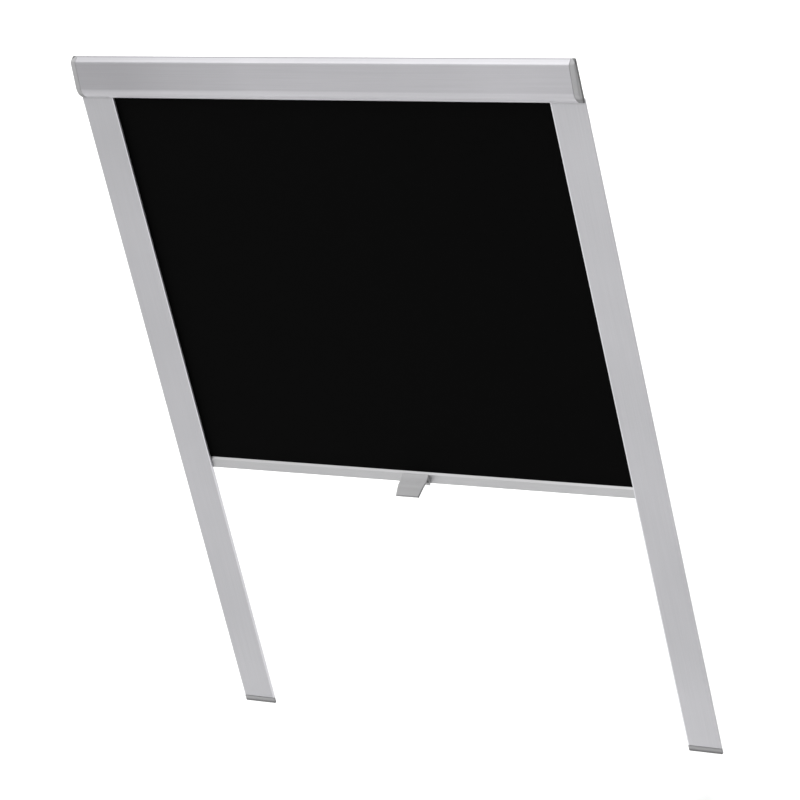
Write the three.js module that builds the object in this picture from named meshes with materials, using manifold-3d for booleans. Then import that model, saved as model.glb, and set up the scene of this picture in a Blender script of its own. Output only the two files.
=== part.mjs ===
// Blackout roller blind for a roof window: a cassette with a spring roller, two side rails
// that guide the fabric, and a bottom bar that the hand slides up and down.
// Millimetres. X is to the right seen from the room, -Y faces the room, +Z is up along the rails.
// Y = 0 is the face of the sash that the blind is fixed to. Inside the group, Z = 0 is the cover's top edge.
import * as THREE from 'three';
import { mergeVertices } from 'three/addons/utils/BufferGeometryUtils.js';
import Module from 'manifold-3d';

// Overall sizes.
const WIDTH = 612;
const HEIGHT = 802.5;
const BAR_DROP = 482.1;      // from the cover's top edge to the bar's top edge, as it stands at rest
const HALF = WIDTH / 2;

// Clearances.
const GAP = 0.3;             // between pieces that touch, and all round pieces that slide or turn
const OVERRUN = 5;           // how far a cutter runs past what it cuts
const MOUNT_DROP = 6;        // from the cover's top edge to the middle of the face that lies on the sash

// Front cover of the cassette, an extruded sheet: bevel, sloping front, lower curve.
const COVER = {
  wall: 1.3, drop: 46.8, bevelDepth: 6.8, bevelDrop: 4.2, bevelRadius: 2,
  depth: 9.2, frontDrop: 34, curveDrop: 41.8, lipDepth: 2.4, barb: 1.2, barbDrop: 1.6,
};
const COVER_CAP = {
  rim: 6.4, wall: 1.8, round: 1.6, backRound: 3, back: 1.5,
  tongue: 8, tongueWall: 1.4, tongueMargin: 10,
};

// Head rail behind the cover, an extruded shell round the roller.
const HEAD = {
  wall: 1.3, front: 0, clear: 2.25, top: 13, bottom: 38, lip: 3, radius: 4.5, frontRadius: 2.2,
  mouth: 5.2, mouthLip: 3, endInset: 19.8,
};
const SUPPORT = {
  plate: 2.7, plug: 4.5, plugWall: 1.4, collar: 5, collarLength: 1.2, bossHeight: 8.7, bossDepth: 6,
  rib: 2.4, ribWall: 1.4,
};
const BRACKET = {
  wall: 1.5, inset: 9.6, front: 0.8, depth: 10.2, top: 14, height: 23.5, lip: 1.3, lipHeight: 1.8, radius: 1,
};
const BRACKET_SCREW = {
  head: 2.5, crown: 0.5, headLength: 1.6, shank: 1.5, length: 6.6, point: 1.8, first: 4, pitch: 6.2,
};

// Roller: tube, the fabric wound on it, plugs, the fixed shaft with its spring, and the idler pin.
const ROLLER = { radius: 7, wall: 0.8, key: 1.2, axisDrop: 25.5, segments: 40 };
const WOUND = { build: 1.9, layer: 0.25 };
const PLUG = { flange: 2.7, body: 11.5 };
const SHAFT = { radius: 2.5, square: 4.4, length: 180 };
const SPRING = { wire: 1, pitch: 4, turns: 34, steps: 8, sides: 5, clear: 0.4 };
const COLLAR = { length: 10 };
const IDLER = { radius: 2, inner: 9.5 };

// Fabric.
const FABRIC = { reach: 15, thick: 0.5, plane: 2.6 };

// Side rails: a wide front plate on the sash with a channel behind it.
const RAIL = {
  face: 40, proud: 2, plate: 1.3, outerLip: 3, innerLip: 1.3, innerLipBack: 0.2, channelInset: 8, wall: 1.3,
  depth: 9.5, rear: 23, rearLip: 1.5, top: 42.5, edge: 0.5,
};
const RAIL_CAP = { height: 7.4, proud: 0.4, tongue: 7, tongueWall: 1.8, round: 1.9 };
const RAIL_SCREW = {
  count: 3, head: 2.7, sink: 1.2, shank: 1.5, length: 6, point: 1.8, margin: 60, drop: 3.75,
};

// Bottom bar, its glides, the strip that holds the fabric, and the brake springs.
const BAR = {
  front: 0.5, depth: 6.5, height: 12.7, bevelDepth: 1.35, bevelHeight: 2.3, radius: 0.9, inset: 39,
  grooveFront: 1.65, grooveBack: 4.9, grooveTop: 1.4, grooveHeight: 4.4,
  chamberFront: 1.7, chamberBack: 5.8, chamberTop: 7, chamberHeight: 4.4,
};
const GLIDE = { tongue: 12, neckSide: 0.3, neckTop: 4.4, shoeReach: 8, taper: 2, springRoom: 2.8 };
const BRAKE = { wall: 0.4, width: 4, margin: 3 };
const KEEPER = { margin: 8, height: 1.6 };

// Handle clipped on the bar.
const HANDLE = {
  half: 16, halfTip: 13.8, top: 2.3, wall: 1.2, tabWall: 1.7, tipRadius: 1.6,
  bendDepth: 6.6, bendDrop: 7.2, kneeDepth: 12.6, kneeDrop: 8.7,
  curlDepth: 17.6, curlDrop: 11.2, tipDepth: 24.4, tipDrop: 15.9,
  strut: 2.2, strutDepth: 7.7, strutDrop: 8, hookHalf: 10, hookWall: 1.5, hookRise: 4.5, hookBarb: 0.5,
};

// Places worked out from the sizes above.
const WOUND_RADIUS = ROLLER.radius + WOUND.build;
const HEAD_LIP_END = -HEAD.top - HEAD.lip;
const RAIL_IN = HALF - RAIL.face;
const FABRIC_END = RAIL_IN + FABRIC.reach;
const AXIS = { y: FABRIC.plane + FABRIC.thick / 2 + GAP + WOUND_RADIUS, z: -ROLLER.axisDrop };
const HEAD_BACK = AXIS.y + WOUND_RADIUS + HEAD.clear + HEAD.wall;
const HEAD_END = HALF - HEAD.endInset;
const PLATE_IN = HEAD_END + GAP;
const PLATE_OUT = PLATE_IN + SUPPORT.plate;
const BRACKET_OUT = HALF - BRACKET.inset;
const BRACKET_IN = BRACKET_OUT - BRACKET.wall;
const TUBE_END = FABRIC_END + GAP;
const PLUG_END = TUBE_END + GAP + PLUG.flange;
const CHANNEL_OUT = HALF - RAIL.channelInset;
const CHANNEL_WALL = CHANNEL_OUT - RAIL.wall;
const CHANNEL_REAR = CHANNEL_OUT - RAIL.rear;
const PLATE_BACK = RAIL.plate - RAIL.proud;
const REAR_WALL = RAIL.depth - RAIL.wall;
const RAIL_END = -(HEIGHT - RAIL_CAP.height);
const BAR_TOP = -BAR_DROP;
const BAR_BOTTOM = BAR_TOP - BAR.height;
const BAR_END = HALF - BAR.inset;
const SHOE_IN = FABRIC_END + 2 * GAP;
const SHOE_OUT = CHANNEL_WALL - GAP - GLIDE.springRoom;

const CURVE_STEPS = 5;
const ROUND_SIDES = 20;
const SCREW_SIDES = 14;
const WELD = 1e-4;

const FINISH = {
  cover: { color: 0xb4b3b6, roughness: 0.38, metalness: 0.75 },
  rail: { color: 0xbababd, roughness: 0.42, metalness: 0.7 },
  capPlastic: { color: 0xa6a6a8, roughness: 0.5, metalness: 0.1 },
  bar: { color: 0xb8b8ba, roughness: 0.4, metalness: 0.7 },
  handle: { color: 0xaeaeb0, roughness: 0.45, metalness: 0.2 },
  darkPlastic: { color: 0x2e2e30, roughness: 0.6, metalness: 0 },
  mill: { color: 0xc4c6c8, roughness: 0.35, metalness: 0.9 },
  steel: { color: 0xa9acae, roughness: 0.3, metalness: 1 },
  fabric: { color: 0x0d0d0d, roughness: 0.95, metalness: 0 },
};

const wasm = await Module();
wasm.setup();

// Joins equal corners and drops triangles that have no area.
function weld(geometry) {
  const bare = geometry.clone();
  bare.deleteAttribute('normal');
  bare.deleteAttribute('uv');
  const merged = mergeVertices(bare, WELD);
  const index = merged.index.array;
  const kept = [];
  for (let i = 0; i < index.length; i += 3) {
    const [a, b, c] = [index[i], index[i + 1], index[i + 2]];
    if (a !== b && b !== c && c !== a) kept.push(a, b, c);
  }
  merged.setIndex(kept);
  return merged;
}

// Six times the volume of a closed mesh, below zero where its faces point inwards.
function signedVolume(geometry) {
  const position = geometry.attributes.position;
  const [a, b, c] = [new THREE.Vector3(), new THREE.Vector3(), new THREE.Vector3()];
  let total = 0;
  for (let i = 0; i < geometry.index.count; i += 3) {
    a.fromBufferAttribute(position, geometry.index.getX(i));
    b.fromBufferAttribute(position, geometry.index.getX(i + 1));
    c.fromBufferAttribute(position, geometry.index.getX(i + 2));
    total += a.dot(b.cross(c));
  }
  return total;
}

// A welded copy whose faces point outwards.
function outward(geometry) {
  const welded = weld(geometry);
  if (signedVolume(welded) < 0) {
    const index = welded.index.array;
    for (let i = 0; i < index.length; i += 3) [index[i], index[i + 1]] = [index[i + 1], index[i]];
  }
  return welded;
}

function toSolid(geometry) {
  const closed = outward(geometry);
  const vertProperties = new Float32Array(closed.attributes.position.array);
  const triVerts = new Uint32Array(closed.index.array);
  return new wasm.Manifold(new wasm.Mesh({ numProp: 3, vertProperties, triVerts }));
}

function toGeometry(solid) {
  const mesh = solid.getMesh();
  const geometry = new THREE.BufferGeometry();
  geometry.setAttribute('position', new THREE.BufferAttribute(mesh.vertProperties, mesh.numProp));
  geometry.setIndex(new THREE.BufferAttribute(mesh.triVerts, 1));
  return geometry;
}

function join(...pieces) {
  return toGeometry(pieces.map(toSolid).reduce((all, piece) => all.add(piece)));
}

function cut(body, ...tools) {
  return toGeometry(tools.map(toSolid).reduce((left, tool) => left.subtract(tool), toSolid(body)));
}

function common(a, b) {
  return toGeometry(toSolid(a).intersect(toSolid(b)));
}

// A closed outline through [a, b] points; a third number rounds that corner by that much.
function outline(points) {
  const corners = points.map(([a, b, radius = 0]) => ({ at: new THREE.Vector2(a, b), radius }));
  const shape = new THREE.Shape();
  corners.forEach(({ at, radius }, i) => {
    const before = corners[(i + corners.length - 1) % corners.length].at;
    const after = corners[(i + 1) % corners.length].at;
    const from = at.clone().add(before.clone().sub(at).setLength(radius));
    const to = at.clone().add(after.clone().sub(at).setLength(radius));
    if (i === 0) shape.moveTo(from.x, from.y);
    else shape.lineTo(from.x, from.y);
    if (radius > 0) shape.quadraticCurveTo(at.x, at.y, to.x, to.y);
  });
  shape.closePath();
  return shape;
}

function rectangle(a0, a1, b0, b1, radius = 0) {
  return outline([[a0, b0, radius], [a1, b0, radius], [a1, b1, radius], [a0, b1, radius]]);
}

// An open line with rounded corners, as points.
function roundedLine(points) {
  const path = new THREE.Path();
  points.forEach(([a, b, radius = 0], i) => {
    const at = new THREE.Vector2(a, b);
    if (i === 0) {
      path.moveTo(a, b);
    } else if (radius === 0) {
      path.lineTo(a, b);
    } else {
      const from = at.clone().add(new THREE.Vector2(...points[i - 1]).sub(at).setLength(radius));
      const to = at.clone().add(new THREE.Vector2(...points[i + 1]).sub(at).setLength(radius));
      path.lineTo(from.x, from.y);
      path.quadraticCurveTo(a, b, to.x, to.y);
    }
  });
  return path.getPoints(CURVE_STEPS);
}

// The same line moved sideways by a distance, to the left of its own direction.
function offsetLine(line, distance) {
  return line.map((point, i) => {
    const before = line[Math.max(i - 1, 0)];
    const after = line[Math.min(i + 1, line.length - 1)];
    const into = (i === 0 ? after.clone().sub(point) : point.clone().sub(before)).normalize();
    const out = (i === line.length - 1 ? into.clone() : after.clone().sub(point)).normalize();
    const normal = new THREE.Vector2(-into.y - out.y, into.x + out.x).normalize();
    const stretch = 1 / (-into.y * normal.x + into.x * normal.y);
    return point.clone().addScaledVector(normal, distance * stretch);
  });
}

// The outline of a sheet that lies between two offsets of a line.
function sheetShape(line, near, far) {
  return new THREE.Shape([...offsetLine(line, near), ...offsetLine(line, far).reverse()]);
}

function extrude(shape, from, to) {
  const geometry = new THREE.ExtrudeGeometry(shape, {
    depth: to - from, bevelEnabled: false, curveSegments: CURVE_STEPS,
  });
  return geometry.translate(0, 0, from);
}

// Turns a solid whose own axes are (y, z, x) into the blind's axes.
function alongX(geometry) {
  const basis = new THREE.Matrix4().makeBasis(
    new THREE.Vector3(0, 1, 0), new THREE.Vector3(0, 0, 1), new THREE.Vector3(1, 0, 0));
  return geometry.applyMatrix4(basis);
}

// A (y, z) outline run along X.
function extrudeX(shape, x0, x1) {
  return alongX(extrude(shape, x0, x1));
}

// An (x, z) outline run along Y.
function extrudeY(shape, y0, y1) {
  const basis = new THREE.Matrix4().makeBasis(
    new THREE.Vector3(1, 0, 0), new THREE.Vector3(0, 0, 1), new THREE.Vector3(0, -1, 0));
  return extrude(shape, -y1, -y0).applyMatrix4(basis);
}

// A box by its low and high corners.
function block([x0, x1], [y0, y1], [z0, z1]) {
  return new THREE.BoxGeometry(x1 - x0, y1 - y0, z1 - z0)
    .translate((x0 + x1) / 2, (y0 + y1) / 2, (z0 + z1) / 2);
}

// A turned piece whose axis runs along X through (y, z), from [x, radius] points.
function turned(profile, y, z, sides = ROUND_SIDES) {
  const points = profile.map(([x, radius]) => new THREE.Vector2(radius, x));
  return new THREE.LatheGeometry(points, sides).rotateZ(-Math.PI / 2).translate(0, y, z);
}

function rod(x0, x1, radius, y, z, sides = ROUND_SIDES) {
  return turned([[x0, 0], [x0, radius], [x1, radius], [x1, 0]], y, z, sides);
}

// A turned piece with a bore, from its outside [x, radius] points.
function bored(profile, bore, y, z) {
  const [first, last] = [profile[0], profile[profile.length - 1]];
  return turned([[first[0], bore], ...profile, [last[0], bore], [first[0], bore]], y, z);
}

// A closed solid through rings that all have the same number of points.
function loft(rings) {
  const count = rings[0].length;
  const positions = rings.flat().flatMap((point) => [point.x, point.y, point.z]);
  const index = [];
  for (let ring = 0; ring + 1 < rings.length; ring += 1) {
    for (let i = 0; i < count; i += 1) {
      const [a, b] = [ring * count + i, ring * count + ((i + 1) % count)];
      index.push(a, b, b + count, a, b + count, a + count);
    }
  }
  const flat = rings[0].map((point) => new THREE.Vector2(point.x, point.y));
  const last = (rings.length - 1) * count;
  for (const [a, b, c] of THREE.ShapeUtils.triangulateShape(flat, [])) {
    index.push(a, c, b, last + a, last + b, last + c);
  }
  const geometry = new THREE.BufferGeometry();
  geometry.setAttribute('position', new THREE.Float32BufferAttribute(positions, 3));
  geometry.setIndex(index);
  return geometry;
}

// A prism along its own third axis whose far end is rounded, from a counter-clockwise outline.
function roundEnded(points, from, to, round) {
  const ends = [{ at: from, inset: 0 }];
  for (let step = 0; step <= CURVE_STEPS; step += 1) {
    const angle = (Math.PI / 2) * (step / CURVE_STEPS);
    ends.push({ at: to - round * (1 - Math.sin(angle)), inset: round * (1 - Math.cos(angle)) });
  }
  const closed = [points[points.length - 1], ...points, points[0]];
  return loft(ends.map(({ at, inset }) => offsetLine(closed, inset).slice(1, -1)
    .map((point) => new THREE.Vector3(point.x, point.y, at))));
}

// The right-hand piece as it is, or its mirror image for the left.
function sided(geometry, side) {
  return side > 0 ? geometry : geometry.clone().scale(-1, 1, 1);
}

// The cover's outside in (y, z), from its top edge at the sash down to the lower lip.
function coverLine() {
  const top = roundedLine([
    [0, 0],
    [-COVER.bevelDepth, -COVER.bevelDrop, COVER.bevelRadius],
    [-COVER.depth, -COVER.frontDrop],
  ]);
  const curve = new THREE.QuadraticBezierCurve(
    new THREE.Vector2(-COVER.depth, -COVER.frontDrop),
    new THREE.Vector2(-COVER.depth, -COVER.curveDrop),
    new THREE.Vector2(-COVER.lipDepth, -COVER.drop));
  return [...top, ...curve.getPoints(2 * CURVE_STEPS).slice(1)];
}

// What the rails' upper ends need free behind the cover's lip.
function railRoom(x0, x1) {
  const front = -(RAIL.proud + GAP);
  return block([x0, x1], [front, OVERRUN], [-COVER.drop - OVERRUN, -RAIL.top + GAP]);
}

function frontCover() {
  const end = HALF - COVER_CAP.rim - GAP;
  const sheet = extrudeX(sheetShape(coverLine(), 0, COVER.wall), -end, end);
  const high = HEAD_LIP_END - GAP;
  const low = high - COVER.barbDrop;
  const seat = block([-end, end], [-COVER.wall, 0], [-HEAD.top + GAP, -COVER.wall]);
  const leg = block([-end, end], [-COVER.wall, HEAD.front - GAP], [low, -COVER.wall]);
  const barb = extrudeX(outline([
    [-COVER.wall / 2, high], [-COVER.wall / 2, low], [HEAD.front - GAP, low], [COVER.barb, high],
  ]), -HEAD_END, HEAD_END);
  const behind = block([-HALF, HALF], [0, OVERRUN], [-COVER.bevelDrop, OVERRUN]);
  return cut(join(sheet, seat, leg, barb), behind, railRoom(-HALF, HALF));
}

function coverCap() {
  const line = coverLine();
  const rim = HALF - COVER_CAP.rim;
  const inside = [new THREE.Vector2(OVERRUN, -COVER.drop), new THREE.Vector2(OVERRUN, 0)];
  const body = alongX(roundEnded([...line, ...inside], rim, HALF, COVER_CAP.round));
  const plan = outline([
    [0, -COVER.depth - OVERRUN], [HALF, -COVER.depth - OVERRUN], [HALF, 0, COVER_CAP.backRound], [0, 0],
  ]);
  const shell = common(body, extrude(plan, -COVER.drop - OVERRUN, OVERRUN));
  const hollowLine = offsetLine(line, COVER_CAP.wall);
  const hollow = new THREE.Shape([
    new THREE.Vector2(-COVER_CAP.back, -COVER.drop + COVER_CAP.wall),
    new THREE.Vector2(-COVER_CAP.back, hollowLine[0].y - COVER_CAP.wall),
    ...hollowLine.slice(1),
  ]);
  const core = extrudeX(hollow, rim - OVERRUN, HALF - COVER_CAP.wall);
  const near = COVER.wall + GAP;
  const strip = extrudeX(sheetShape(line, near, near + COVER_CAP.tongueWall),
    rim - COVER_CAP.tongue, HALF - COVER_CAP.wall + GAP);
  const window = block([0, HALF], [-COVER.depth, 0],
    [-COVER.drop + COVER_CAP.tongueMargin, -COVER_CAP.tongueMargin]);
  return cut(join(cut(shell, core), common(strip, window)), railRoom(0, HALF + OVERRUN));
}

// The head rail's outside in (y, z), from its front lip round the back to the fabric's mouth.
function headLine() {
  return roundedLine([
    [HEAD.front, HEAD_LIP_END],
    [HEAD.front, -HEAD.top, HEAD.frontRadius],
    [HEAD_BACK, -HEAD.top, HEAD.radius],
    [HEAD_BACK, -HEAD.bottom, HEAD.radius],
    [HEAD.mouth, -HEAD.bottom, HEAD.frontRadius],
    [HEAD.mouth, -HEAD.bottom + HEAD.mouthLip],
  ]);
}

function headRail() {
  return extrudeX(sheetShape(headLine(), 0, -HEAD.wall), -HEAD_END, HEAD_END);
}

// The plate that closes the head rail, with its plug, the roller's bearing, the boss that sits in the
// bracket and the ribs that stiffen the boss.
function endSupport(side) {
  const plate = extrudeX(
    rectangle(HEAD.front, HEAD_BACK, -HEAD.bottom, -HEAD.top, HEAD.radius), PLATE_IN, PLATE_OUT);
  const near = HEAD.wall + GAP;
  const inner = roundedLine([
    [HEAD.mouth, -HEAD.top],
    [HEAD_BACK, -HEAD.top, HEAD.radius],
    [HEAD_BACK, -HEAD.bottom, HEAD.radius],
    [HEAD.mouth + HEAD.mouthLip, -HEAD.bottom],
  ]);
  const plug = extrudeX(
    sheetShape(inner, -near, -near - SUPPORT.plugWall), PLATE_IN - SUPPORT.plug, PLATE_IN + GAP);
  const collar = rod(PLATE_IN - SUPPORT.collarLength, PLATE_IN + GAP, SUPPORT.collar, AXIS.y, AXIS.z);
  const bossBottom = -BRACKET.top - BRACKET.height + BRACKET.wall + GAP;
  const bossFront = BRACKET.front + BRACKET.lip + GAP;
  const bossBack = bossFront + SUPPORT.bossDepth;
  const boss = extrudeX(
    rectangle(bossFront, bossBack, bossBottom, bossBottom + SUPPORT.bossHeight, BRACKET.radius),
    PLATE_OUT - GAP, BRACKET_IN - GAP);
  const ribOut = [PLATE_OUT - GAP, PLATE_OUT + SUPPORT.rib];
  const middle = (bossFront + bossBack) / 2;
  const ribDrop = bossBottom + SUPPORT.bossHeight / 2;
  const upright = block(ribOut, [middle - SUPPORT.ribWall / 2, middle + SUPPORT.ribWall / 2],
    [ribDrop, -HEAD.top - HEAD.radius]);
  const level = block(ribOut, [middle, HEAD_BACK - HEAD.radius],
    [ribDrop - SUPPORT.ribWall / 2, ribDrop + SUPPORT.ribWall / 2]);
  const half = SHAFT.square / 2 + GAP;
  const socket = side > 0
    ? rod(PLATE_IN - OVERRUN, PLATE_OUT + OVERRUN, IDLER.radius + GAP, AXIS.y, AXIS.z)
    : extrudeX(rectangle(AXIS.y - half, AXIS.y + half, AXIS.z - half, AXIS.z + half),
      PLATE_IN - OVERRUN, PLATE_OUT + OVERRUN);
  return sided(cut(join(plate, plug, collar, boss, upright, level), socket), side);
}

// The places of a bracket's screws, as drops below the cover's top edge.
function bracketScrewDrops() {
  const first = BRACKET.top + BRACKET_SCREW.first;
  return [first, first + BRACKET_SCREW.pitch];
}

const BRACKET_MIDDLE = BRACKET.front + BRACKET.depth / 2;

function mountingBracket() {
  const bottom = -BRACKET.top - BRACKET.height;
  const trayIn = PLATE_OUT + GAP;
  const section = outline([
    [BRACKET_OUT, -BRACKET.top],
    [BRACKET_OUT, bottom, BRACKET.radius],
    [trayIn, bottom],
    [trayIn, bottom + BRACKET.wall],
    [BRACKET_IN, bottom + BRACKET.wall],
    [BRACKET_IN, -BRACKET.top],
  ]);
  const bent = extrudeY(section, BRACKET.front, BRACKET.front + BRACKET.depth);
  const lip = block([trayIn, BRACKET_IN + GAP], [BRACKET.front, BRACKET.front + BRACKET.lip],
    [bottom, bottom + BRACKET.wall + BRACKET.lipHeight]);
  const holes = bracketScrewDrops().map((drop) => rod(BRACKET_IN - OVERRUN, BRACKET_OUT + OVERRUN,
    BRACKET_SCREW.shank + GAP, BRACKET_MIDDLE, -drop, SCREW_SIDES));
  return cut(join(bent, lip), ...holes);
}

function bracketScrew(drop) {
  const seat = BRACKET_IN - GAP;
  const top = seat - BRACKET_SCREW.headLength;
  const tip = seat + BRACKET_SCREW.length;
  const { head, crown, shank } = BRACKET_SCREW;
  return turned([
    [top, 0], [top, head - crown], [top + crown, head], [seat, head],
    [seat, shank], [tip - BRACKET_SCREW.point, shank], [tip, 0],
  ], BRACKET_MIDDLE, -drop, SCREW_SIDES);
}

// What the key rib inside the tube needs free in a piece that sits in the tube.
function keyRoom(x0, x1) {
  const inner = ROLLER.radius - ROLLER.wall;
  const half = ROLLER.key / 2 + GAP;
  const low = AXIS.z + inner - ROLLER.key - GAP;
  return block([x0, x1], [AXIS.y - half, AXIS.y + half], [low, AXIS.z + ROLLER.radius]);
}

function rollerTube() {
  const inner = ROLLER.radius - ROLLER.wall;
  const ring = new THREE.Shape().absarc(AXIS.y, AXIS.z, ROLLER.radius, 0, 2 * Math.PI);
  ring.holes.push(new THREE.Path().absarc(AXIS.y, AXIS.z, inner, 0, 2 * Math.PI));
  const tube = alongX(new THREE.ExtrudeGeometry(ring, {
    depth: 2 * TUBE_END, bevelEnabled: false, curveSegments: ROLLER.segments,
  }).translate(0, 0, -TUBE_END));
  const key = block([-TUBE_END, TUBE_END], [AXIS.y - ROLLER.key / 2, AXIS.y + ROLLER.key / 2],
    [AXIS.z + inner - ROLLER.key, AXIS.z + ROLLER.radius - ROLLER.wall / 2]);
  return join(tube, key);
}

// The wound fabric. Its outside is one turn of a spiral, whose step lies where the sheet leaves the roll.
function fabricRoll() {
  const spiral = [];
  for (let step = 0; step <= ROLLER.segments; step += 1) {
    const share = step / ROLLER.segments;
    const angle = Math.PI - 2 * Math.PI * share;
    const radius = WOUND_RADIUS - WOUND.layer * share;
    spiral.push(new THREE.Vector2(AXIS.y + radius * Math.cos(angle), AXIS.z + radius * Math.sin(angle)));
  }
  const bore = rod(
    -FABRIC_END - OVERRUN, FABRIC_END + OVERRUN, ROLLER.radius + GAP, AXIS.y, AXIS.z, ROLLER.segments);
  return cut(extrudeX(new THREE.Shape(spiral), -FABRIC_END, FABRIC_END), bore);
}

// The plug in one end of the tube: a body with a flange, bored for the shaft or the idler pin.
function tubePlug(side) {
  const flangeIn = TUBE_END + GAP;
  const body = ROLLER.radius - ROLLER.wall - GAP;
  const bore = (side > 0 ? IDLER.radius : SHAFT.radius) + GAP;
  const plug = bored([
    [TUBE_END - PLUG.body, body], [flangeIn, body], [flangeIn, ROLLER.radius], [PLUG_END, ROLLER.radius],
  ], bore, AXIS.y, AXIS.z);
  return sided(cut(plug, keyRoom(TUBE_END - PLUG.body - OVERRUN, flangeIn)), side);
}

function springShaft() {
  const neck = -(PLUG_END + 2 * GAP);
  const half = SHAFT.square / 2;
  const round = rod(neck, neck + SHAFT.length, SHAFT.radius, AXIS.y, AXIS.z);
  const square = extrudeX(rectangle(AXIS.y - half, AXIS.y + half, AXIS.z - half, AXIS.z + half),
    -(PLATE_OUT - GAP), neck + GAP);
  return join(round, square);
}

// Where the spring stops and the collar starts, on the shaft.
const SPRING_START = -(TUBE_END - PLUG.body) + 2 * GAP;
const SPRING_END = SPRING_START + SPRING.pitch * SPRING.turns + SPRING.wire;

function torsionSpring() {
  const wire = SPRING.wire / 2;
  const coil = SHAFT.radius + SPRING.clear + wire;
  const steps = SPRING.turns * SPRING.steps;
  const rings = [];
  for (let step = 0; step <= steps; step += 1) {
    const angle = 2 * Math.PI * (step / SPRING.steps);
    const x = SPRING_START + wire + SPRING.pitch * (step / SPRING.steps);
    const ring = [];
    for (let side = 0; side < SPRING.sides; side += 1) {
      const round = 2 * Math.PI * (side / SPRING.sides);
      const radius = coil + wire * Math.cos(round);
      ring.push(new THREE.Vector3(
        x + wire * Math.sin(round), AXIS.y + radius * Math.cos(angle), AXIS.z + radius * Math.sin(angle)));
    }
    rings.push(ring);
  }
  return capped(rings);
}

// A tube through rings, closed by a fan at each end.
function capped(rings) {
  const count = rings[0].length;
  const positions = rings.flat().flatMap((point) => [point.x, point.y, point.z]);
  const index = [];
  for (let ring = 0; ring + 1 < rings.length; ring += 1) {
    for (let i = 0; i < count; i += 1) {
      const [a, b] = [ring * count + i, ring * count + ((i + 1) % count)];
      index.push(a, b, b + count, a, b + count, a + count);
    }
  }
  const last = (rings.length - 1) * count;
  for (let i = 1; i + 1 < count; i += 1) index.push(0, i + 1, i, last, last + i, last + i + 1);
  const geometry = new THREE.BufferGeometry();
  geometry.setAttribute('position', new THREE.Float32BufferAttribute(positions, 3));
  geometry.setIndex(index);
  return geometry;
}

function springCollar() {
  const start = SPRING_END + GAP;
  const outer = ROLLER.radius - ROLLER.wall - GAP;
  const end = start + COLLAR.length;
  const ring = bored([[start, outer], [end, outer]], SHAFT.radius + GAP, AXIS.y, AXIS.z);
  return cut(ring, keyRoom(start - OVERRUN, end + OVERRUN));
}

function idlerPin() {
  return rod(TUBE_END - IDLER.inner, PLATE_OUT - GAP, IDLER.radius, AXIS.y, AXIS.z);
}

// A rail's section in (x, y): the front plate with its lips, and the channel behind it.
function sideRail() {
  const section = outline([
    [HALF, -RAIL.proud, RAIL.edge],
    [RAIL_IN, -RAIL.proud, RAIL.edge],
    [RAIL_IN, RAIL.innerLipBack],
    [RAIL_IN + RAIL.innerLip, RAIL.innerLipBack],
    [RAIL_IN + RAIL.innerLip, PLATE_BACK],
    [CHANNEL_WALL, PLATE_BACK],
    [CHANNEL_WALL, REAR_WALL],
    [CHANNEL_REAR + RAIL.wall, REAR_WALL],
    [CHANNEL_REAR + RAIL.wall, REAR_WALL - RAIL.rearLip],
    [CHANNEL_REAR, REAR_WALL - RAIL.rearLip],
    [CHANNEL_REAR, RAIL.depth],
    [CHANNEL_OUT, RAIL.depth],
    [CHANNEL_OUT, PLATE_BACK],
    [HALF - RAIL.outerLip, PLATE_BACK],
    [HALF - RAIL.outerLip, 0],
    [HALF, 0],
  ]);
  const sinks = railScrewDrops().map((drop) => turned([
    [CHANNEL_WALL - OVERRUN, 0],
    [CHANNEL_WALL - OVERRUN, RAIL_SCREW.head + GAP],
    [CHANNEL_WALL, RAIL_SCREW.head + GAP],
    [CHANNEL_WALL + RAIL_SCREW.sink, RAIL_SCREW.shank + GAP],
    [CHANNEL_OUT + OVERRUN, RAIL_SCREW.shank + GAP],
    [CHANNEL_OUT + OVERRUN, 0],
  ], RAIL_SCREW.drop, -drop, SCREW_SIDES));
  return cut(extrude(section, RAIL_END + GAP, -RAIL.top), ...sinks);
}

// The places of a rail's screws, as drops below the cover's top edge.
function railScrewDrops() {
  const first = RAIL.top + RAIL_SCREW.margin;
  const last = -RAIL_END - RAIL_SCREW.margin;
  const drops = [];
  for (let i = 0; i < RAIL_SCREW.count; i += 1) {
    drops.push(first + (last - first) * (i / (RAIL_SCREW.count - 1)));
  }
  return drops;
}

function railScrew(drop) {
  const tip = CHANNEL_WALL + RAIL_SCREW.length;
  return turned([
    [CHANNEL_WALL, 0],
    [CHANNEL_WALL, RAIL_SCREW.head],
    [CHANNEL_WALL + RAIL_SCREW.sink, RAIL_SCREW.shank],
    [tip - RAIL_SCREW.point, RAIL_SCREW.shank],
    [tip, 0],
  ], RAIL_SCREW.drop, -drop, SCREW_SIDES);
}

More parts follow.
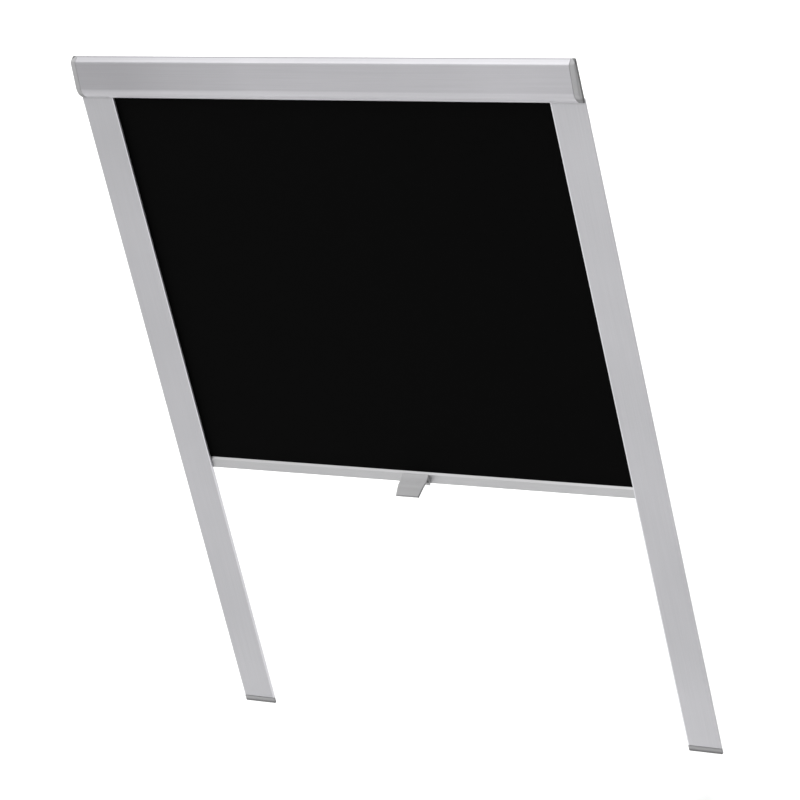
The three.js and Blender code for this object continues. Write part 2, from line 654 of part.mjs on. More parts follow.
// The moulded piece that closes a rail's lower end, rounded at its outer edges and flat on the sash,
// with a tongue up into the channel.
function railCap() {
  const front = -(RAIL.proud + RAIL_CAP.proud);
  const around = [[HALF, front], [HALF, RAIL.depth], [RAIL_IN, RAIL.depth], [RAIL_IN, front]]
    .map(([x, y]) => new THREE.Vector2(x, y));
  const rounded = roundEnded(around, -RAIL_END, HEIGHT, RAIL_CAP.round);
  const section = outline([
    [HALF + OVERRUN, front - OVERRUN], [HALF + OVERRUN, 0], [CHANNEL_OUT, 0],
    [CHANNEL_OUT, RAIL.depth + OVERRUN], [CHANNEL_REAR, RAIL.depth + OVERRUN], [CHANNEL_REAR, 0],
    [RAIL_IN - OVERRUN, 0], [RAIL_IN - OVERRUN, front - OVERRUN],
  ]);
  const body = common(rounded, extrude(section, -RAIL_END - OVERRUN, HEIGHT + OVERRUN)).scale(1, 1, -1);
  const low = PLATE_BACK + GAP;
  const high = REAR_WALL - GAP;
  const [left, right] = [CHANNEL_REAR + RAIL.wall + GAP, CHANNEL_WALL - GAP];
  const tongue = extrude(outline([
    [right, low], [right, high], [right - RAIL_CAP.tongueWall, high],
    [right - RAIL_CAP.tongueWall, low + RAIL_CAP.tongueWall],
    [left + RAIL_CAP.tongueWall, low + RAIL_CAP.tongueWall],
    [left + RAIL_CAP.tongueWall, high], [left, high], [left, low],
  ]), RAIL_END - GAP, RAIL_END + RAIL_CAP.tongue);
  return join(body, tongue);
}

// The bar's section in (y, z): bevelled front, groove for the fabric's edge, hollow chamber.
function barSection() {
  const back = BAR.front + BAR.depth;
  const slot = FABRIC.thick / 2 + GAP;
  const grooveLow = -BAR.grooveTop - BAR.grooveHeight;
  const shape = outline([
    [FABRIC.plane - slot, 0],
    [BAR.front + BAR.bevelDepth, 0],
    [BAR.front, -BAR.bevelHeight],
    [BAR.front, -BAR.height, BAR.radius],
    [back, -BAR.height, BAR.radius],
    [back, 0, BAR.radius],
    [FABRIC.plane + slot, 0],
    [FABRIC.plane + slot, -BAR.grooveTop],
    [BAR.grooveBack, -BAR.grooveTop],
    [BAR.grooveBack, grooveLow],
    [BAR.grooveFront, grooveLow],
    [BAR.grooveFront, -BAR.grooveTop],
    [FABRIC.plane - slot, -BAR.grooveTop],
  ]);
  shape.holes.push(rectangle(BAR.chamberFront, BAR.chamberBack,
    -BAR.chamberTop - BAR.chamberHeight, -BAR.chamberTop, BAR.radius / 2));
  return shape;
}

function bottomBar() {
  return extrudeX(barSection(), -BAR_END, BAR_END).translate(0, 0, BAR_TOP);
}

// A glide: tongue in the bar's chamber, neck past the fabric's edge, shoe in the rail's channel.
function barGlide() {
  const tongue = block([BAR_END - GLIDE.tongue, BAR_END + 2 * GAP],
    [BAR.chamberFront + GAP, BAR.chamberBack - GAP],
    [BAR_TOP - BAR.chamberTop - BAR.chamberHeight + GAP, BAR_TOP - BAR.chamberTop - GAP]);
  const neck = block([BAR_END + GAP, SHOE_IN + GAP],
    [BAR.front + GLIDE.neckSide, REAR_WALL - RAIL.rearLip - GAP], [BAR_BOTTOM, BAR_TOP - GLIDE.neckTop]);
  const front = PLATE_BACK + GAP;
  const back = REAR_WALL - GAP;
  const shoe = extrudeX(
    rectangle(front, back, BAR_BOTTOM - GLIDE.shoeReach, BAR_TOP + GLIDE.shoeReach, GLIDE.taper),
    SHOE_IN, SHOE_OUT);
  return join(tongue, neck, shoe);
}

// A bowed leaf spring that lies on the shoe at both ends and presses on the channel's wall at its middle.
function brakeSpring() {
  const low = BAR_BOTTOM - GLIDE.shoeReach + BRAKE.margin;
  const high = BAR_TOP + GLIDE.shoeReach - BRAKE.margin;
  const foot = SHOE_OUT + GAP;
  const crown = CHANNEL_WALL - GAP - BRAKE.wall;
  const line = [];
  for (let step = 0; step <= 2 * CURVE_STEPS; step += 1) {
    const share = step / (2 * CURVE_STEPS);
    const bow = (1 - Math.cos(2 * Math.PI * share)) / 2;
    line.push(new THREE.Vector2(foot + (crown - foot) * bow, low + (high - low) * share));
  }
  const middle = (PLATE_BACK + REAR_WALL) / 2;
  return extrudeY(sheetShape(line, 0, -BRAKE.wall), middle - BRAKE.width / 2, middle + BRAKE.width / 2);
}

function fabricKeeper() {
  const half = BAR_END - KEEPER.margin;
  const low = BAR_TOP - BAR.grooveTop - BAR.grooveHeight + GAP;
  return block([-half, half], [BAR.grooveFront + GAP, BAR.grooveBack - GAP], [low, low + KEEPER.height]);
}

// The sheet of fabric, from the front of the roll down to the keeper in the bar's groove.
function blackoutFabric() {
  const low = BAR_TOP - BAR.grooveTop - BAR.grooveHeight + KEEPER.height + 2 * GAP;
  const front = FABRIC.plane - FABRIC.thick / 2;
  return block([-FABRIC_END, FABRIC_END], [front, front + FABRIC.thick], [low, AXIS.z]);
}

// The handle's upper surface in (y, z), from the bar's bevel out to the curled tip.
function handleLine() {
  const face = BAR.front - GAP;
  const path = new THREE.Path();
  path.moveTo(face, -HANDLE.top);
  path.quadraticCurveTo(
    face - HANDLE.bendDepth, -HANDLE.bendDrop, face - HANDLE.kneeDepth, -HANDLE.kneeDrop);
  path.quadraticCurveTo(
    face - HANDLE.curlDepth, -HANDLE.curlDrop, face - HANDLE.tipDepth, -HANDLE.tipDrop);
  return path.getPoints(CURVE_STEPS);
}

// The curved tab: its section run along X, trimmed to a plan that narrows from the knee to the tip.
function handleTab() {
  const face = BAR.front - GAP;
  const section = extrudeX(sheetShape(handleLine(), 0, HANDLE.tabWall), -HANDLE.half, HANDLE.half);
  const knee = face - HANDLE.kneeDepth;
  const tip = face - HANDLE.tipDepth - HANDLE.tabWall;
  const plan = outline([
    [-HANDLE.half, face], [-HANDLE.half, knee, HANDLE.tipRadius],
    [-HANDLE.halfTip, tip, HANDLE.tipRadius], [HANDLE.halfTip, tip, HANDLE.tipRadius],
    [HANDLE.half, knee, HANDLE.tipRadius], [HANDLE.half, face],
  ]);
  return common(section, extrude(plan, -HANDLE.tipDrop - OVERRUN, OVERRUN));
}

// The plate on the bar's face and the strut below the tab. With the tab they close a hollow wedge,
// open at both ends.
function handleWedge() {
  const face = BAR.front - GAP;
  const low = -BAR.height - GAP - HANDLE.strut / 2;
  const plate = block([-HANDLE.half, HANDLE.half], [face - HANDLE.wall, face],
    [low, -HANDLE.top - HANDLE.wall]);
  const outer = new THREE.Vector2(face - HANDLE.strutDepth, -HANDLE.strutDrop);
  const line = [outer, new THREE.Vector2(face, low)];
  const strut = extrudeX(
    sheetShape(line, -HANDLE.strut / 2, HANDLE.strut / 2), -HANDLE.half, HANDLE.half);
  return join(plate, strut);
}

// The hook that runs under the bar and snaps up behind it.
function handleHook() {
  const high = -BAR.height - GAP;
  const backIn = BAR.front + BAR.depth + GAP;
  const back = backIn + HANDLE.hookWall;
  const top = high + HANDLE.hookRise;
  return extrudeX(outline([
    [BAR.front - GAP - HANDLE.wall, high - HANDLE.hookWall],
    [back, high - HANDLE.hookWall, HANDLE.hookWall],
    [back + HANDLE.hookBarb, top - HANDLE.hookBarb], [backIn + HANDLE.hookBarb, top],
    [backIn, top - HANDLE.hookBarb], [backIn, high], [BAR.front - GAP - HANDLE.wall, high],
  ]), -HANDLE.hookHalf, HANDLE.hookHalf);
}

function handle() {
  return join(handleTab(), handleWedge(), handleHook()).translate(0, 0, BAR_TOP);
}

const blind = new THREE.Group();
blind.position.z = MOUNT_DROP;

function add(name, geometry, finish) {
  const faceted = outward(geometry).toNonIndexed();
  faceted.computeVertexNormals();
  const mesh = new THREE.Mesh(faceted, new THREE.MeshStandardMaterial(finish));
  mesh.name = name;
  blind.add(mesh);
}

add('front_cover', frontCover(), FINISH.cover);
add('head_rail', headRail(), FINISH.mill);
add('roller_tube', rollerTube(), FINISH.mill);
add('fabric_roll', fabricRoll(), FINISH.fabric);
add('spring_shaft', springShaft(), FINISH.steel);
add('torsion_spring', torsionSpring(), FINISH.steel);
add('spring_collar', springCollar(), FINISH.darkPlastic);
add('idler_pin', idlerPin(), FINISH.steel);
add('blackout_fabric', blackoutFabric(), FINISH.fabric);
add('bottom_bar', bottomBar(), FINISH.bar);
add('fabric_keeper', fabricKeeper(), FINISH.darkPlastic);
add('handle', handle(), FINISH.handle);

for (const [name, side] of [['left', -1], ['right', 1]]) {
  add(`cover_cap_${name}`, sided(coverCap(), side), FINISH.capPlastic);
  add(`end_support_${name}`, endSupport(side), FINISH.darkPlastic);
  add(`mounting_bracket_${name}`, sided(mountingBracket(), side), FINISH.steel);
  bracketScrewDrops().forEach((drop, i) => {
    add(`bracket_screw_${name}_${i + 1}`, sided(bracketScrew(drop), side), FINISH.steel);
  });
  add(`tube_plug_${name}`, tubePlug(side), FINISH.darkPlastic);
  add(`side_rail_${name}`, sided(sideRail(), side), FINISH.rail);
  add(`rail_cap_${name}`, sided(railCap(), side), FINISH.capPlastic);
  railScrewDrops().forEach((drop, i) => {
    add(`rail_screw_${name}_${i + 1}`, sided(railScrew(drop), side), FINISH.steel);
  });
  add(`bar_glide_${name}`, sided(barGlide(), side), FINISH.darkPlastic);
  add(`brake_spring_${name}`, sided(brakeSpring(), side), FINISH.steel);
}

export default blind;
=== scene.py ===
"""Looks of a blackout roller blind that runs in side rails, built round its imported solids.

Metres, in the solids' own frame: +X to the right seen from the room, -Y towards the room,
+Z up along the rails. Sizes in classes and finishes are millimetres where they say so.
"""
import logging
import math
from collections.abc import Callable, Sequence
from dataclasses import dataclass
from enum import Enum
from typing import Any

import bmesh
import bpy
from mathutils import Matrix, Vector


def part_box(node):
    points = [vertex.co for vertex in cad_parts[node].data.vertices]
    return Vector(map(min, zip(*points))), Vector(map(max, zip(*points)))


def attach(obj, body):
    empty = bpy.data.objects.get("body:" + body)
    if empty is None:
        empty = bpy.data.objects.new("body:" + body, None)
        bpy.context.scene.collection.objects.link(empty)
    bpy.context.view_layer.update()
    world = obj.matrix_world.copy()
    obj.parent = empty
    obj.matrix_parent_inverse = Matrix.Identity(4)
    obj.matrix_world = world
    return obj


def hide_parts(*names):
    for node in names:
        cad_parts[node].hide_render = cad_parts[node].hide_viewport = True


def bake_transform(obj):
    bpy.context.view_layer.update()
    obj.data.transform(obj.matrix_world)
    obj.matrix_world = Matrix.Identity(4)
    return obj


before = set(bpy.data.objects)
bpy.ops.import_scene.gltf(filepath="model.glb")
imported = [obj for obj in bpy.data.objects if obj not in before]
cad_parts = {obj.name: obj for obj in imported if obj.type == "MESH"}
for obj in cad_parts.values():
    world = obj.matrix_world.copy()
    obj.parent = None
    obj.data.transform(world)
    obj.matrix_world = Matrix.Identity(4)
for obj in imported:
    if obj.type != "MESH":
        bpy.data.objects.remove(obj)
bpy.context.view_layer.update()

MM = 0.001
log = logging.getLogger("roller_blind")

Colour = tuple[float, float, float]
Point = tuple[float, float, float]


def linked(name: str, data: bpy.types.ID) -> bpy.types.Object:
    """Adds an object to the scene.

    Args:
        name: its name.
        data: its mesh, light or camera.

    Returns:
        The object.
    """
    made = bpy.data.objects.new(name, data)
    bpy.context.scene.collection.objects.link(made)
    return made


def plain_piece(carrier: bpy.types.Object, name: str,
                finish: bpy.types.Material) -> bpy.types.Object:
    """Turns what an object's modifiers make into a plain piece of one material.

    Args:
        carrier: the object with the modifiers, which goes.
        name: the name of the piece.
        finish: its material.

    Returns:
        The piece, a mesh with no modifier.
    """
    view = bpy.context.evaluated_depsgraph_get()
    mesh = bpy.data.meshes.new_from_object(carrier.evaluated_get(view), depsgraph=view)
    carrier.modifiers.clear()
    bpy.data.objects.remove(carrier)
    mesh.name = name
    mesh.materials.clear()
    mesh.materials.append(finish)
    return linked(name, mesh)


# Node trees


class Field:
    """One value socket of a node tree, so that maths on it reads as a plain expression."""

    def __init__(self, graph: "Graph", socket: bpy.types.NodeSocket) -> None:
        """Wraps a socket of a graph."""
        self.graph = graph
        self.socket = socket

    def math(self, operation: str, *others: "Field | float") -> "Field":
        """Adds a Math node on this value and others.

        Args:
            operation: the Math node's operation.
            others: the values of its further sockets.

        Returns:
            The node's result.
        """
        return self.graph.maths(operation, self, *others)

    def __add__(self, other: "Field | float") -> "Field":
        """This value plus another."""
        return self.math("ADD", other)

    __radd__ = __add__

    def __mul__(self, other: "Field | float") -> "Field":
        """This value times another."""
        return self.math("MULTIPLY", other)

    __rmul__ = __mul__

    def __sub__(self, other: "Field | float") -> "Field":
        """This value less another."""
        return self.math("SUBTRACT", other)

    def __rsub__(self, other: float) -> "Field":
        """A number less this value."""
        return self.graph.maths("SUBTRACT", other, self)

    def __truediv__(self, other: "Field | float") -> "Field":
        """This value over another."""
        return self.math("DIVIDE", other)

    def __abs__(self) -> "Field":
        """This value without its sign."""
        return self.math("ABSOLUTE")

    def sine(self) -> "Field":
        """The sine of this value, in radians."""
        return self.math("SINE")

    def cosine(self) -> "Field":
        """The cosine of this value, in radians."""
        return self.math("COSINE")

    def between(self, low: float, high: float) -> "Field":
        """Where this value lies between two others, as 0 to 1, held at both ends.

        Args:
            low: the value that gives 0.
            high: the value that gives 1.

        Returns:
            The share.
        """
        node = self.graph.add("ShaderNodeMapRange", {"clamp": True}, {
            "Value": self, "From Min": low, "From Max": high})
        return self.graph.field(node, "Result")


class Graph:
    """A shader or geometry node tree that is being filled."""

    def __init__(self, tree: bpy.types.NodeTree) -> None:
        """Empties the tree."""
        self.tree = tree
        tree.nodes.clear()

    @staticmethod
    def _socket(sockets: Sequence[bpy.types.NodeSocket], key: str | int) -> bpy.types.NodeSocket:
        """Finds a socket.

        Args:
            sockets: a node's inputs or outputs.
            key: its place, its identifier or the name of one in use.

        Returns:
            The socket.
        """
        if isinstance(key, int):
            return sockets[key]
        exact = [s for s in sockets if s.identifier == key]
        return (exact or [s for s in sockets if s.name == key and s.enabled])[0]

    def add(self, kind: str, settings: dict[str, Any] | None = None,
            sockets: dict[str | int, Any] | None = None) -> bpy.types.Node:
        """Adds one node.

        Args:
            kind: the node's type.
            settings: its properties, which are set first.
            sockets: a value or a link for each of its inputs, by place, identifier or name.

        Returns:
            The node.
        """
        node = self.tree.nodes.new(kind)
        for name, value in (settings or {}).items():
            setattr(node, name, value)
        for key, value in (sockets or {}).items():
            socket = self._socket(node.inputs, key)
            source = value.socket if isinstance(value, Field) else value
            if isinstance(source, bpy.types.NodeSocket):
                self.tree.links.new(source, socket)
            else:
                socket.default_value = source
        return node

    def field(self, node: bpy.types.Node, key: str | int = 0) -> Field:
        """An output of a node, wrapped."""
        return Field(self, self._socket(node.outputs, key))

    def feed(self, node: bpy.types.Node, key: str, value: Field) -> None:
        """Links a value to an input of a node that is already there."""
        self.tree.links.new(value.socket, node.inputs[key])

    def maths(self, operation: str, *values: Field | float) -> Field:
        """Adds a Math node.

        Args:
            operation: its operation.
            values: its inputs, of which at least one is a field.

        Returns:
            Its result.
        """
        return self.field(self.add(
            "ShaderNodeMath", {"operation": operation}, dict(enumerate(values))))

    def stretched(self, vector: Field, factors: Point) -> Field:
        """A vector times a factor for each axis."""
        return self.field(self.add(
            "ShaderNodeVectorMath", {"operation": "MULTIPLY"}, {0: vector, 1: factors}))

    def parts(self, vector: Field) -> tuple[Field, Field, Field]:
        """The three parts of a vector."""
        node = self.add("ShaderNodeSeparateXYZ", sockets={0: vector})
        return self.field(node, 0), self.field(node, 1), self.field(node, 2)

    def vector(self, x: Field | float, y: Field | float, z: Field | float) -> Field:
        """A vector from its three parts."""
        return self.field(self.add("ShaderNodeCombineXYZ", sockets={0: x, 1: y, 2: z}))

    def noise(self, vector: Field, scale: float, detail: float = 2.0) -> Field:
        """Smooth noise from 0 to 1.

        Args:
            vector: where it is read.
            scale: how many grains there are to a unit of the vector.
            detail: how many finer layers lie on it.

        Returns:
            The noise's value.
        """
        node = self.add("ShaderNodeTexNoise", {"noise_dimensions": "3D"}, {
            "Vector": vector, "Scale": scale, "Detail": detail})
        return self.field(node, 0)

    def scaled(self, colour: Field, factor: Field) -> Field:
        """A colour, made lighter or darker by a value."""
        return self.field(self.add(
            "ShaderNodeVectorMath", {"operation": "SCALE"}, {0: colour, "Scale": factor}))

    def between(self, factor: Field, low: Colour, high: Colour) -> Field:
        """A colour that goes from one to another.

        Args:
            factor: how far it has gone, from 0 to 1.
            low: the colour at 0.
            high: the colour at 1.

        Returns:
            The colour.
        """
        node = self.add("ShaderNodeMix", {"data_type": "RGBA", "clamp_factor": True}, {
            "Factor_Float": factor, "A_Color": (*low, 1), "B_Color": (*high, 1)})
        return self.field(node, "Result_Color")

    def form(self, kind: str, sizes: dict[str, Any], place: Sequence[Field | float]) -> Field:
        """Adds a plain form of a geometry tree.

        Args:
            kind: which form, as the end of its node's name.
            sizes: the node's inputs.
            place: where its own origin goes.

        Returns:
            The form's mesh.
        """
        made = self.add("GeometryNodeMesh" + kind, sockets=sizes)
        moved = self.add("GeometryNodeTransform", sockets={
            "Geometry": made.outputs[0], "Translation": self.vector(*place)})
        return self.field(moved)

    def position(self) -> tuple[Field, Field, Field]:
        """The three parts of each point's place, in a geometry tree."""
        return self.parts(self.field(self.add("GeometryNodeInputPosition")))

    def carved(self, body: Field, tool: Field) -> Field:
        """A body with a tool's room cut out of it."""
        return self.field(self.add("GeometryNodeMeshBoolean", {"operation": "DIFFERENCE"}, {
            "Mesh 1": body, "Mesh 2": tool}))

    def joined(self, *parts: Field) -> Field:
        """Several meshes as one.

        Args:
            parts: the meshes.

        Returns:
            The one mesh.
        """
        node = self.add("GeometryNodeJoinGeometry")
        for part in parts:
            self.tree.links.new(part.socket, node.inputs[0])
        return self.field(node)


# Finishes


class Grain(Enum):
    """The way that a profile was drawn, as noise factors for each axis."""

    ALONG_X = (9.0, 1900.0, 1900.0)
    ALONG_Z = (1900.0, 1900.0, 9.0)


def shade(colour: Colour, factor: float) -> Colour:
    """A colour, made lighter or darker by a factor."""
    return tuple(part * factor for part in colour)


@dataclass(frozen=True)
class Band:
    """A stretch of painted light or shade: lighter or darker than the rest, with a soft start.

    Its places are in millimetres along a direction, from where it starts to where it is full.
    It may be kept to one side of a height, and comes in there from the first to the second of
    two heights.
    """

    direction: Point
    start: float
    full: float
    factor: float
    mirrored: bool = False
    beyond: tuple[float, float] | None = None

    def tone(self, graph: Graph, place: Field) -> Field:
        """The factor that it puts on the colour.

        Args:
            graph: the material's nodes.
            place: the object coordinates.

        Returns:
            1 before the band and its factor within it.
        """
        across, depth, height = graph.parts(place)
        if self.mirrored:
            across = abs(across)
        x, y, z = self.direction
        share = (across * x + depth * y + height * z).between(self.start * MM, self.full * MM)
        if self.beyond is not None:
            first, second = self.beyond
            share = share * height.between(first * MM, second * MM)
        return share * (self.factor - 1) + 1


MADE: dict[str, bpy.types.Material] = {}


@dataclass(frozen=True)
class Finish:
    """What every finish has: its name, the record's slot that it belongs to, colour, and bands."""

    name: str
    slot: str
    colour: Colour
    roughness: float
    bands: tuple[Band, ...] = ()

    def material(self) -> bpy.types.Material:
        """The finish's material, made the first time it is asked for.

        Returns:
            The material.
        """
        if self.name not in MADE:
            made = MADE[self.name] = bpy.data.materials.new(self.name)
            made.use_nodes = True
            graph = Graph(made.node_tree)
            shader = graph.add("ShaderNodeBsdfPrincipled")
            graph.add("ShaderNodeOutputMaterial", sockets={"Surface": shader.outputs[0]})
            place = graph.field(graph.add("ShaderNodeTexCoord"), "Object")
            self.dress(graph, shader, place)
        return MADE[self.name]

    def dress(self, graph: Graph, shader: bpy.types.Node, place: Field) -> None:
        """Fills in the shader.

        Args:
            graph: the material's nodes.
            shader: its Principled node.
            place: the object coordinates.
        """
        raise NotImplementedError

    def paint(self, graph: Graph, shader: bpy.types.Node, place: Field, pattern: Field,
              low: float, high: float) -> None:
        """Puts on the colour, with a pattern and the finish's bands of painted light and shade.

        Args:
            graph: the material's nodes.
            shader: its Principled node.
            place: the object coordinates.
            pattern: the pattern, from 0 to 1.
            low: the factor on the colour where the pattern is 0.
            high: the factor where it is 1.
        """
        colour = graph.between(pattern, shade(self.colour, low), shade(self.colour, high))
        for band in self.bands:
            colour = graph.scaled(colour, band.tone(graph, place))
        graph.feed(shader, "Base Color", colour)

    def gloss(self, graph: Graph, shader: bpy.types.Node, *swings: tuple[Field, float]) -> None:
        """Sets the roughness, with patterns that vary it round the finish's own.

        Args:
            graph: the material's nodes.
            shader: its Principled node.
            swings: patterns from 0 to 1, each with how far it moves the roughness in all.
        """
        rough = sum(((pattern - 0.5) * swing for pattern, swing in swings), self.roughness)
        graph.feed(shader, "Roughness", rough)

    @staticmethod
    def relief(graph: Graph, shader: bpy.types.Node, height: Field, strength: float,
               depth: float) -> None:
        """Raises the surface by a height.

        Args:
            graph: the material's nodes.
            shader: its Principled node.
            height: the height, from 0 to 1.
            strength: how much of it shows.
            depth: what a height of 1 is, in millimetres.
        """
        bump = graph.add("ShaderNodeBump", sockets={
            "Strength": strength, "Distance": depth * MM, "Height": height})
        graph.feed(shader, "Normal", graph.field(bump, "Normal"))


@dataclass(frozen=True)
class DrawnAluminium(Finish):
    """A drawn profile, etched and anodised to a satin silver.

    Scales are in grains to a metre, heights in millimetres. The shares are those of the draw
    lines, the clouds and the etched grain. A swing is how far a pattern moves the roughness.
    """

    grain: Grain = Grain.ALONG_X
    metallic: float = 0.8
    streaks: float = 0.10
    etching_scale: float = 5200.0
    cloud_scale: float = 7.0
    tone_shares: Point = (0.45, 0.35, 0.2)
    tone_range: tuple[float, float] = (0.3, 0.7)
    line_swing: float = 0.10
    cloud_swing: float = 0.06
    relief_shares: tuple[float, float] = (0.6, 0.4)
    relief_strength: float = 0.35
    relief_depth: float = 0.02
    dull_below: float | None = None
    dull_reach: float = 3.0
    dull_metallic: float = 0.15

    def dress(self, graph: Graph, shader: bpy.types.Node, place: Field) -> None:
        """Draw lines along the profile, a fine etched grain and slow clouds in the anodising.

        Args:
            graph: the material's nodes.
            shader: its Principled node.
            place: the object coordinates.
        """
        lines = graph.noise(graph.stretched(place, self.grain.value), 1.0, detail=3.0)
        etched = graph.noise(place, self.etching_scale, detail=1.0)
        clouds = graph.noise(place, self.cloud_scale)
        drawn, cloudy, fine = self.tone_shares
        tone = (lines * drawn + clouds * cloudy + etched * fine).between(*self.tone_range)
        self.paint(graph, shader, place, tone, 1 - self.streaks, 1 + self.streaks)
        self.gloss(graph, shader, (lines, self.line_swing), (clouds, self.cloud_swing))
        drawn, fine = self.relief_shares
        self.relief(graph, shader, lines * drawn + etched * fine, self.relief_strength,
                    self.relief_depth)
        shader.inputs["Metallic"].default_value = self.metallic
        if self.dull_below is not None:
            _, _, height = graph.parts(place)
            bright = height.between((self.dull_below - self.dull_reach) * MM, self.dull_below * MM)
            metallic = bright * (self.metallic - self.dull_metallic) + self.dull_metallic
            graph.feed(shader, "Metallic", metallic)


@dataclass(frozen=True)
class MouldedPlastic(Finish):
    """A moulded piece with the fine spark-eroded grain of its tool; sizes in millimetres."""

    grain_size: float = 0.35
    flow_scale: float = 40.0
    tone_shares: tuple[float, float] = (0.7, 0.3)
    tone_range: tuple[float, float] = (0.25, 0.75)
    tone_factors: tuple[float, float] = (0.94, 1.06)
    gloss_swing: float = 0.12
    relief_strength: float = 0.4
    relief_depth: float = 0.03
    specular: float = 0.45

    def dress(self, graph: Graph, shader: bpy.types.Node, place: Field) -> None:
        """A cell grain in the surface, with faint flow clouds in the colour.

        Args:
            graph: the material's nodes.
            shader: its Principled node.
            place: the object coordinates.
        """
        cells = graph.field(graph.add("ShaderNodeTexVoronoi", {"feature": "SMOOTH_F1"}, {
            "Vector": place, "Scale": 1 / (self.grain_size * MM)}), "Distance")
        flow = graph.noise(place, self.flow_scale, detail=3.0)
        flowing, grained = self.tone_shares
        tone = (flow * flowing + cells * grained).between(*self.tone_range)
        self.paint(graph, shader, place, tone, *self.tone_factors)
        self.gloss(graph, shader, (flow, self.gloss_swing))
        self.relief(graph, shader, cells, self.relief_strength, self.relief_depth)
        shader.inputs["Specular IOR Level"].default_value = self.specular


@dataclass(frozen=True)
class PlatedSteel(Finish):
    """Zinc-plated steel with faint spangle; scales in grains to a metre."""

    spangle_scale: float = 420.0
    fine_scale: float = 3000.0
    spangle_factors: tuple[float, float] = (0.86, 1.08)
    spangle_swing: float = 0.14
    fine_swing: float = 0.06
    relief_strength: float = 0.3
    relief_depth: float = 0.01

    def dress(self, graph: Graph, shader: bpy.types.Node, place: Field) -> None:
        """Plating patches in colour and gloss over a fine rolled grain.

        Args:
            graph: the material's nodes.
            shader: its Principled node.
            place: the object coordinates.
        """
        patches = graph.field(graph.add("ShaderNodeTexVoronoi", {"feature": "F1"}, {
            "Vector": place, "Scale": self.spangle_scale}), "Distance")
        fine = graph.noise(place, self.fine_scale)
        self.paint(graph, shader, place, patches, *self.spangle_factors)
        self.gloss(graph, shader, (patches, self.spangle_swing), (fine, self.fine_swing))
        self.relief(graph, shader, fine, self.relief_strength, self.relief_depth)
        shader.inputs["Metallic"].default_value = 1.0


@dataclass(frozen=True)
class WovenCloth(Finish):
    """A plain weave, dyed through or coated on one side.

    Its pitch and relief are in millimetres, its scales in grains to a metre.
    """

    pitch: float = 0.42
    metallic: float = 0.0
    contrast: float = 0.5
    specular: float = 0.1
    thread_shares: tuple[float, float] = (0.6, 0.4)
    gloss_swing: float = 0.1
    relief_strength: float = 0.6
    relief_depth: float = 0.05
    slub_length_scale: float = 60.0
    slub_width_scale: float = 2400.0
    slub_swing: float = 0.5
    cloud_scale: float = 14.0

    def dress(self, graph: Graph, shader: bpy.types.Node, place: Field) -> None:
        """Threads that cross over and under each other, with slubs and slow clouds.

        Args:
            graph: the material's nodes.
            shader: its Principled node.
            place: the object coordinates.
        """
        across, _, up = graph.parts(place)
        turn = math.pi / (self.pitch * MM)
        long, wide = self.slub_length_scale, self.slub_width_scale
        warp_slub = graph.noise(graph.stretched(place, (wide, wide, long)), 1.0) - 0.5
        weft_slub = graph.noise(graph.stretched(place, (long, wide, wide)), 1.0) - 0.5
        warp_wave = (across * turn + warp_slub * self.slub_swing).sine()
        weft_wave = (up * turn + weft_slub * self.slub_swing).sine()
        over = (warp_wave * weft_wave) * 0.5 + 0.5
        threads = (abs(warp_wave) * over).math("MAXIMUM", abs(weft_wave) * (1 - over))
        clouds = graph.noise(place, self.cloud_scale, detail=3.0)
        woven, cloudy = self.thread_shares
        self.paint(graph, shader, place, threads * woven + clouds * cloudy,
                   1 - self.contrast, 1 + self.contrast)
        self.gloss(graph, shader, (clouds, self.gloss_swing))
        self.relief(graph, shader, threads, self.relief_strength, self.relief_depth)
        shader.inputs["Metallic"].default_value = self.metallic
        shader.inputs["Specular IOR Level"].default_value = self.specular


X_AXIS, Y_AXIS, Z_AXIS = (1.0, 0.0, 0.0), (0.0, 1.0, 0.0), (0.0, 0.0, 1.0)
CAP_CORNER = (1.0, 1.0, 0.0)
TAB_LOWER_EDGE, TAB_RIGHT_EDGE = (0.0, -0.82, -0.57), (1.0, -0.163, 0.0)

COVER_ALUMINIUM = DrawnAluminium(
    "cover_anodised", "cover", (0.352, 0.348, 0.364), roughness=0.42, bands=(
        # Painted light: lighter towards the right
        Band(X_AXIS, -260, -80, 1.25), Band(X_AXIS, -20, 300, 1.07),
        # Painted light: the lower curve lighter down to the lip, less so towards the right
        Band(Z_AXIS, -27.8, -29.2, 1.15), Band(Z_AXIS, -29.2, -33.8, 1.06),
        Band(Z_AXIS, -33.8, -36.3, 1.12), Band(Z_AXIS, -36.3, -38.7, 1.2),
        Band(X_AXIS, -220, 0, 0.89, beyond=(-28.5, -30.0)),
        # Painted shade: the bevel darker towards the right, a painted shadow on its upper edge
        Band(X_AXIS, -220, 0, 0.86, beyond=(1.0, 2.2)), Band(Z_AXIS, 5.0, 5.35, 0.68),
        # Painted shadow on the lip where it lies on the rails
        Band(X_AXIS, 267.4, 268.2, 0.76, mirrored=True, beyond=(-36.6, -38.2)),
    ), dull_below=-32)
RAIL_ALUMINIUM = DrawnAluminium(
    "rail_anodised", "rail", (0.423, 0.421, 0.437), roughness=0.44, bands=(
        # Painted light on the right rail and inner edges, painted shadow under the cover
        Band(X_AXIS, -200, 200, 1.13), Band(X_AXIS, 267.8, 267.0, 1.4, mirrored=True),
        Band(Z_AXIS, -43.0, -41.5, 0.87),
    ), grain=Grain.ALONG_Z)
BAR_ALUMINIUM = DrawnAluminium(
    "bar_anodised", "bar", (0.385, 0.385, 0.391), roughness=0.40, bands=(
        # Painted light towards the right and on its sloping top, painted shade on its lower edge
        Band(X_AXIS, -260, 260, 1.25), Band(Z_AXIS, -478.7, -478.3, 1.2),
        Band(Z_AXIS, -487.5, -488.4, 0.7),
    ))
MILL_ALUMINIUM = DrawnAluminium(
    "mill_finish_aluminium", "mill_aluminium", (0.44, 0.446, 0.455), roughness=0.40,
    metallic=0.9, streaks=0.14)
